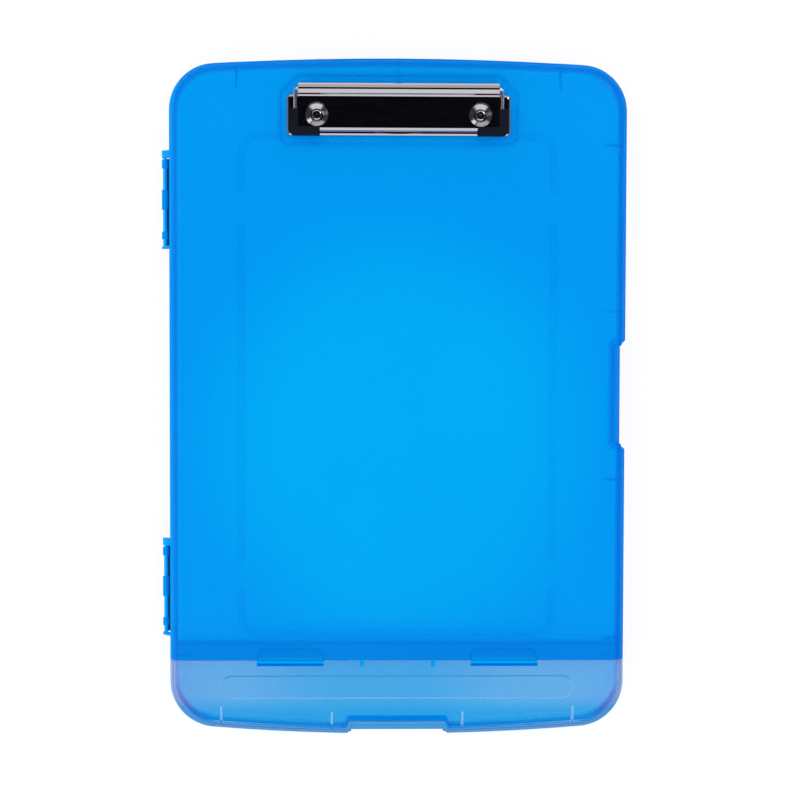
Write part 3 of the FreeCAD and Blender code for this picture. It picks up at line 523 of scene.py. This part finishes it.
def surface_mesh(name, points, material):
    """A grid of points, rows by columns, joined by quads in row order."""
    rows, columns = points.shape[:2]
    index = np.arange(rows * columns).reshape(rows, columns)
    quads = np.stack([index[:-1, :-1], index[:-1, 1:], index[1:, 1:], index[1:, :-1]], axis=-1)
    mesh = bpy.data.meshes.new(name)
    mesh.from_pydata(points.reshape(-1, 3).tolist(), [], quads.reshape(-1, 4).tolist())
    mesh.materials.append(material)
    mesh.validate()
    piece = bpy.data.objects.new(name, mesh)
    scene.collection.objects.link(piece)
    return piece


def straight_sight(tree):
    """1 for what the camera sees by itself, in a mirror or through glass, and 0 for the rest."""
    path = add(tree, "LightPath").outputs
    rays = ("Is Glossy Ray", "Is Transmission Ray", "Is Camera Ray")
    return greatest(tree, *(path[ray] for ray in rays))


def studio_floor():
    """A flat white floor just under the box; to the eye its paper glows a little."""
    material, tree, output = new_material("white floor")
    paper = add(tree, "BsdfDiffuse", {"Color": floor_paper})
    glow = add(tree, "Emission", {"Color": white, "Strength": floor_glow})
    share = product(tree, straight_sight(tree), floor_glow_share)
    mix = add(tree, "MixShader", {0: share, 1: paper.outputs[0], 2: glow.outputs[0]})
    tree.links.new(mix.outputs[0], output.inputs["Surface"])
    side = np.linspace(-floor_reach, floor_reach, floor_points)
    x, y = np.meshgrid(side, side)
    points = np.stack([x, y, np.full_like(x, -floor_below)], axis=-1)
    surface_mesh("floor", points, material)


def studio_world():
    """Soft even light; what shines in the clip is a dim room with pale screens and one lamp.

    Round the room the screens follow the turn a = atan2(x, -y) of a direction, from the far
    end at a = -pi round by the left, the near end at a = 0 and the right. The room has a dark
    gap overhead, a white horizon, and the lamp is a small disc round one direction.
    """
    world = bpy.data.worlds.new("studio")
    world.use_nodes = True
    scene.world = world
    tree = world.node_tree
    tree.nodes.clear()
    output = tree.nodes.new("ShaderNodeOutputWorld")
    direction = add(tree, "TexCoord").outputs["Generated"]
    x, y, z = add(tree, "SeparateXYZ", {"Vector": direction}).outputs

    def off_centre(value, centre, half, fade):
        """Rises from 0 to 1 where the slope of a direction leaves the gap along one axis."""
        slope = figure(tree, "DIVIDE", value, greatest(tree, z, least_rise))
        return ease(tree, apart(tree, slope, centre), (half, half + fade))

    turn = figure(tree, "ARCTAN2", x, product(tree, y, -1.0))
    around = add(tree, "MapRange", {"Value": turn, "From Min": -math.pi, "From Max": math.pi})
    shine = add(tree, "ValToRGB", {"Fac": around.outputs["Result"]})
    ramp = shine.color_ramp
    ramp.elements[0].position = 0.0
    ramp.elements[1].position = 1.0
    for position, _ in screens[1:-1]:
        ramp.elements.new(position)
    for element, (_, level) in zip(ramp.elements, screens):
        element.color = (*(level * screen_tint), 1)

    tilts = (product(tree, value, tilt) for value, tilt in zip((x, y), even_tilt))
    even = figure(tree, "ADD", even_level, figure(tree, "ADD", *tilts))
    grey = add(tree, "CombineColor", dict.fromkeys(("Red", "Green", "Blue"), even))
    path = add(tree, "LightPath").outputs
    room = blend_colours(tree, path["Is Glossy Ray"], grey.outputs["Color"],
                         shine.outputs["Color"])
    open_room = greatest(tree, off_centre(x, centre=0.03, half=0.26, fade=0.10),
                         off_centre(y, centre=0.06, half=0.26, fade=0.06))
    room = blend_colours(tree, open_room, overhead_colour, room)
    toward_lamp = add(tree, "VectorMath", {0: direction, 1: lamp_direction},
                      operation="DOT_PRODUCT").outputs["Value"]
    room = paint(tree, room, (ease(tree, toward_lamp, lamp_fade), lamp_colour),
                 (ease(tree, z, horizon_fade), white))
    light = add(tree, "Background", {"Color": room, "Strength": 1.0})
    plain = add(tree, "Background", {"Color": white, "Strength": 1.0})
    seen = greatest(tree, path["Is Camera Ray"], path["Is Transmission Ray"])
    mix = add(tree, "MixShader", {0: seen, 1: light.outputs[0], 2: plain.outputs[0]})
    tree.links.new(mix.outputs[0], output.inputs["Surface"])


def overhead_camera():
    """Straight down from about nine tenths of a metre, leaning a little from the clip end."""
    data = bpy.data.cameras.new("overhead camera")
    data.lens = camera_lens
    data.sensor_width = camera_sensor
    camera = bpy.data.objects.new("overhead camera", data)
    scene.collection.objects.link(camera)
    camera.location = camera_place
    camera.rotation_euler = tuple(math.radians(angle) for angle in camera_turn)
    scene.camera = camera


scene.view_settings.view_transform = "Standard"
scene.cycles.transparent_max_bounces = 64
dress_box()
studio_floor()
studio_world()
overhead_camera()
